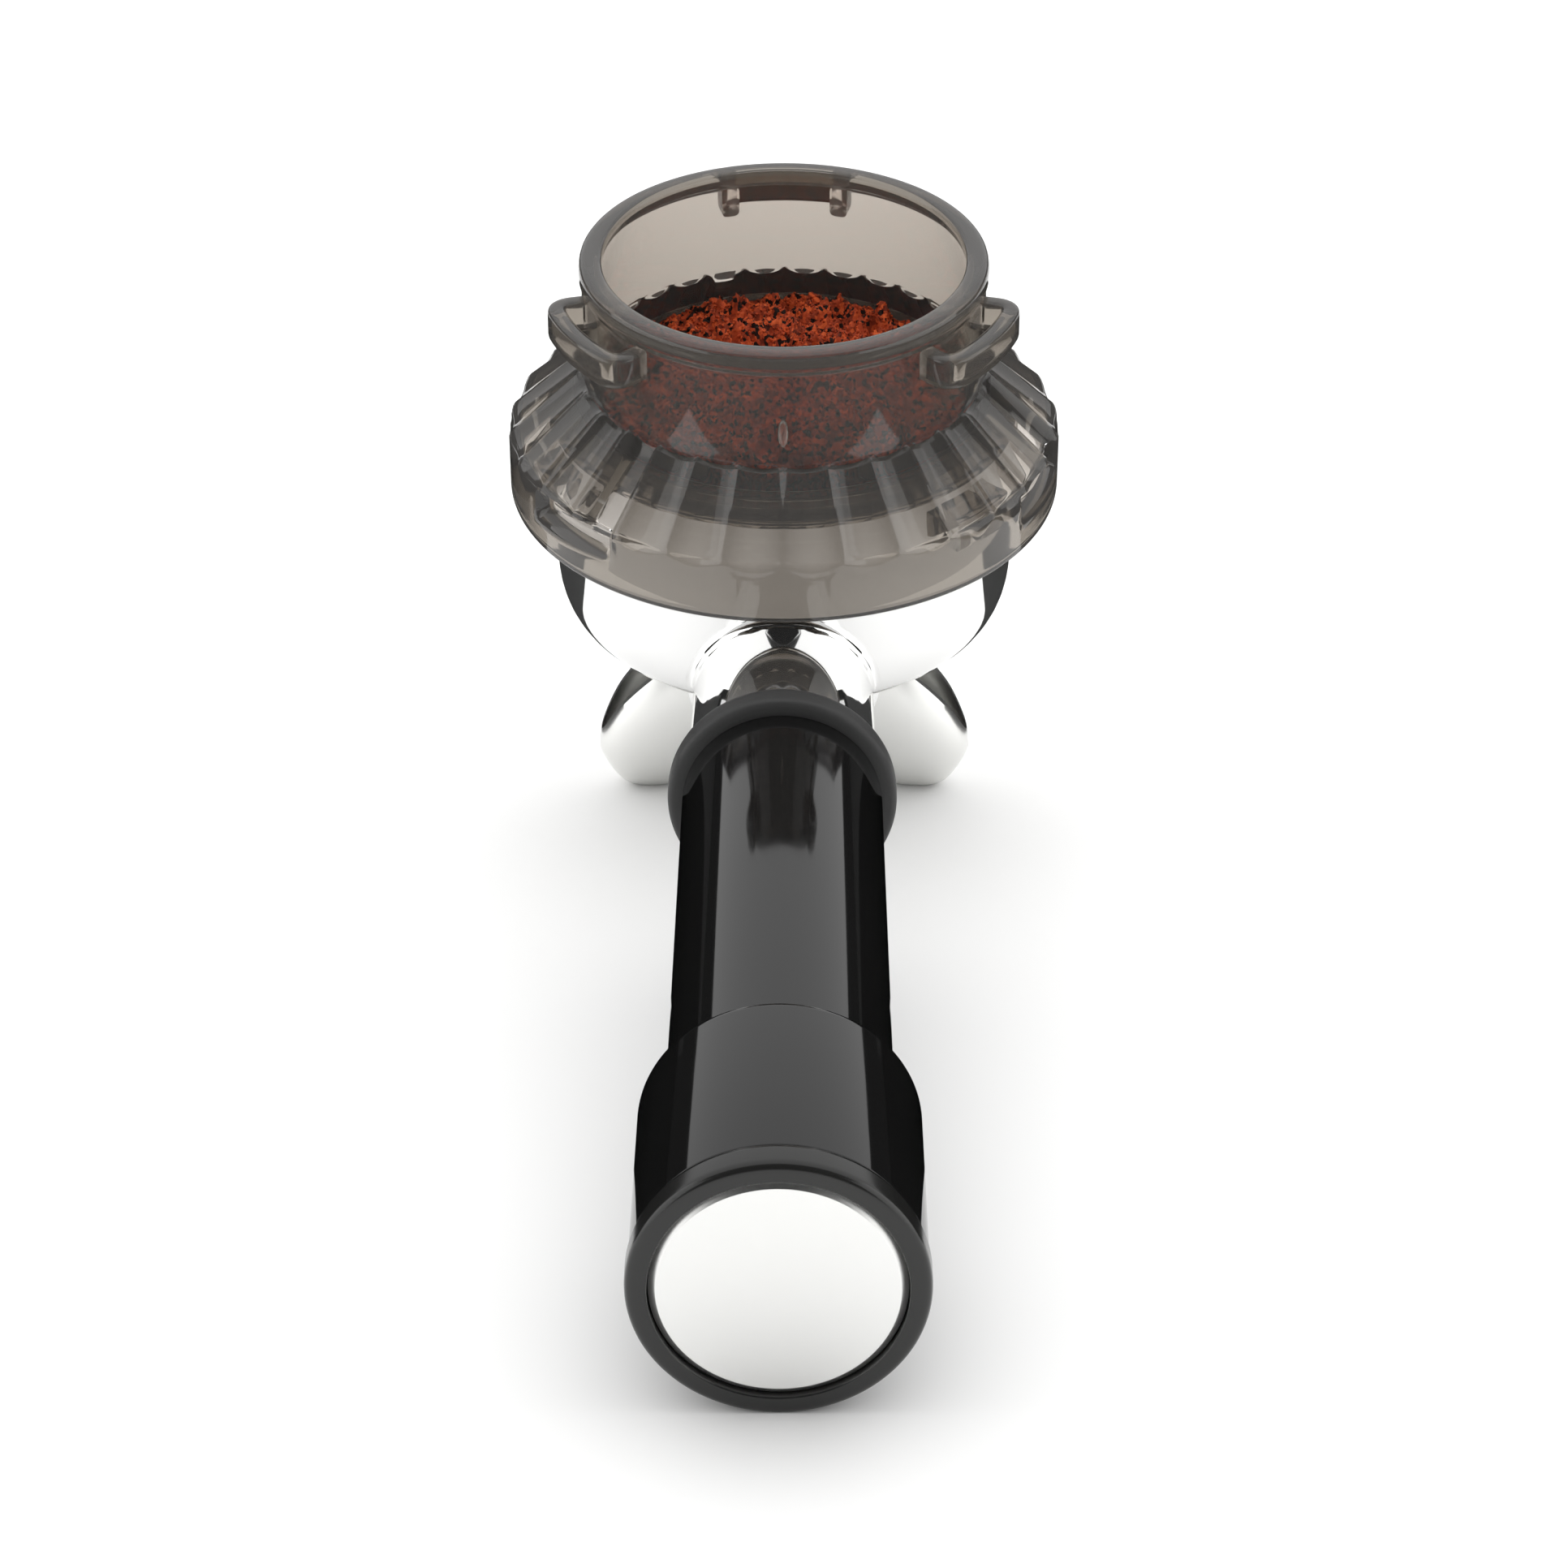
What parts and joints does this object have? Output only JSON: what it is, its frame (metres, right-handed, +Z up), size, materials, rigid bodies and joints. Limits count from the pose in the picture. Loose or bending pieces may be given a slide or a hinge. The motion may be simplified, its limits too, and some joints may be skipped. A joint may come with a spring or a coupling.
{
  "type": "portafilter",
  "caption": "Espresso portafilter with straight handle, twin spout, filter basket of ground coffee and a smoked clear dosing funnel.",
  "frame": {"origin": "centre of the bounding box on the floor that the spout and the end of the handle stand on", "axes": "+Z up from the floor, -Y along the handle away from the bowl, +X to the right seen from the handle's end; the bowl's axis leans 11.27 degrees from +Z towards the handle"},
  "size_m": [0.0796, 0.215, 0.0941],
  "materials": {
    "chromed_brass": "polished chrome plate on cast brass",
    "spout_steel": "satin chrome plate, brushed inside the gutters",
    "steel_bolt": "turned stainless steel",
    "spring_steel": "bright spring wire",
    "steel_sheet": "pressed stainless sheet",
    "zinc_steel": "zinc-plated steel",
    "smoked_plastic": "clear smoke-tinted moulded plastic",
    "coffee": "coarse red-brown ground coffee",
    "rubber_seal": "soft black rubber",
    "matte_black": "matt dark grey moulding",
    "gloss_black": "deep gloss black",
    "satin_black": "half-gloss black",
    "black_plastic": "plain black moulding",
    "satin_disc": "satin disc with a bright bevel"
  },
  "bodies": {
    "portafilter": {"portafilter_bowl": "chromed_brass", "bowl_liner": "black_plastic", "spout_body": "spout_steel", "spout_bolt": "steel_bolt", "spout_seal": "rubber_seal", "front_ring": "matte_black", "grip_sleeve": "gloss_black", "tail_sleeve": "gloss_black", "handle_core": "black_plastic", "flat_washer": "zinc_steel", "spring_washer": "zinc_steel", "stud_nut": "zinc_steel", "handle_stud": "zinc_steel", "end_ring": "satin_black", "end_disc": "satin_disc", "disc_plug": "black_plastic"},
    "spring": {"basket_spring": "spring_steel"},
    "basket": {"filter_basket": "steel_sheet", "ground_coffee": "coffee"},
    "funnel": {"dosing_funnel": "smoked_plastic"}
  },
  "joints": [
    {"name": "stack_turn", "type": "hinge", "parent": "portafilter", "child": "spring", "pos_m": [0, 0.06613, 0.06469], "axis": [0, -0.1954, 0.9807], "range_deg": [-19, 78]},
    {"name": "basket_lift", "type": "slide", "parent": "spring", "child": "basket", "axis": [0, -0.1954, 0.9807], "range_m": [0, 0.045]},
    {"name": "funnel_lift", "type": "slide", "parent": "basket", "child": "funnel", "axis": [0, -0.1954, 0.9807], "range_m": [0, 0.06]}
  ]
}
